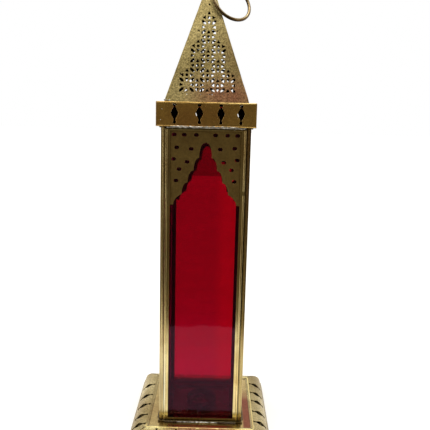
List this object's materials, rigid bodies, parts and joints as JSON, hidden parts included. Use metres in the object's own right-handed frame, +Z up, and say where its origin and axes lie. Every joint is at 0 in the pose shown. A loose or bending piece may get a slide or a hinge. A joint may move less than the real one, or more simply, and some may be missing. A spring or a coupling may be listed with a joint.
{
  "type": "ramadan fanous lantern",
  "caption": "Tall square brass lantern with ruby glass sides, a hinged front door, pierced collar and spire, flared pierced base and a hanging ring.",
  "frame": {"origin": "middle of the foot, on the surface that it stands on", "axes": "+Z up, the door and front face towards -Y, +X to the right as seen from the front"},
  "size_m": [0.1296, 0.1296, 0.4091],
  "materials": {
    "frame_brass": "worn, brushed along its length",
    "arch_brass": "darkened sheet",
    "collar_brass": "aged sheet",
    "spire_brass": "finely hammered, aged",
    "skirt_brass": "finely hammered",
    "deck_brass": "smooth, aged",
    "wire_brass": "drawn wire, worn",
    "ruby_glass": "clear ruby red",
    "solder": "dull grey beads"
  },
  "bodies": {
    "lantern": {"base_rim": "skirt_brass", "base_skirt_front": "skirt_brass", "base_skirt_right": "skirt_brass", "base_skirt_back": "skirt_brass", "base_skirt_left": "skirt_brass", "base_deck": "deck_brass", "sill_frame": "frame_brass", "sill_solder": "solder", "candle_dish": "deck_brass", "post_front_left": "frame_brass", "post_front_right": "frame_brass", "post_back_right": "frame_brass", "post_back_left": "frame_brass", "window_frame_right": "frame_brass", "window_frame_back": "frame_brass", "window_frame_left": "frame_brass", "glass_right": "ruby_glass", "glass_back": "ruby_glass", "glass_left": "ruby_glass", "arch_plate_right": "arch_brass", "arch_plate_back": "arch_brass", "arch_plate_left": "arch_brass", "door_stop": "frame_brass", "door_lintel": "frame_brass", "hinge_wire": "wire_brass", "eave_plate": "collar_brass", "eave_solder": "solder", "collar_band": "collar_brass", "collar_top_plate": "collar_brass", "spire_front": "spire_brass", "spire_right": "spire_brass", "spire_back": "spire_brass", "spire_left": "spire_brass", "spire_cap": "spire_brass", "hanging_eye": "wire_brass"},
    "door": {"door_frame": "frame_brass", "door_glass": "ruby_glass", "door_arch_plate": "arch_brass"},
    "ring": {"hanging_ring": "wire_brass"}
  },
  "joints": [
    {"name": "door_hinge", "type": "hinge", "parent": "lantern", "child": "door", "pos_m": [-0.033, -0.0371, 0.1505], "axis": [0, 0, -1], "range_deg": [0, 120]},
    {"name": "ring_swing", "type": "hinge", "parent": "lantern", "child": "ring", "pos_m": [0.00575, -0.00367, 0.4028], "axis": [-0.4574, -0.622, -0.6355], "range_deg": [0, 200]}
  ]
}
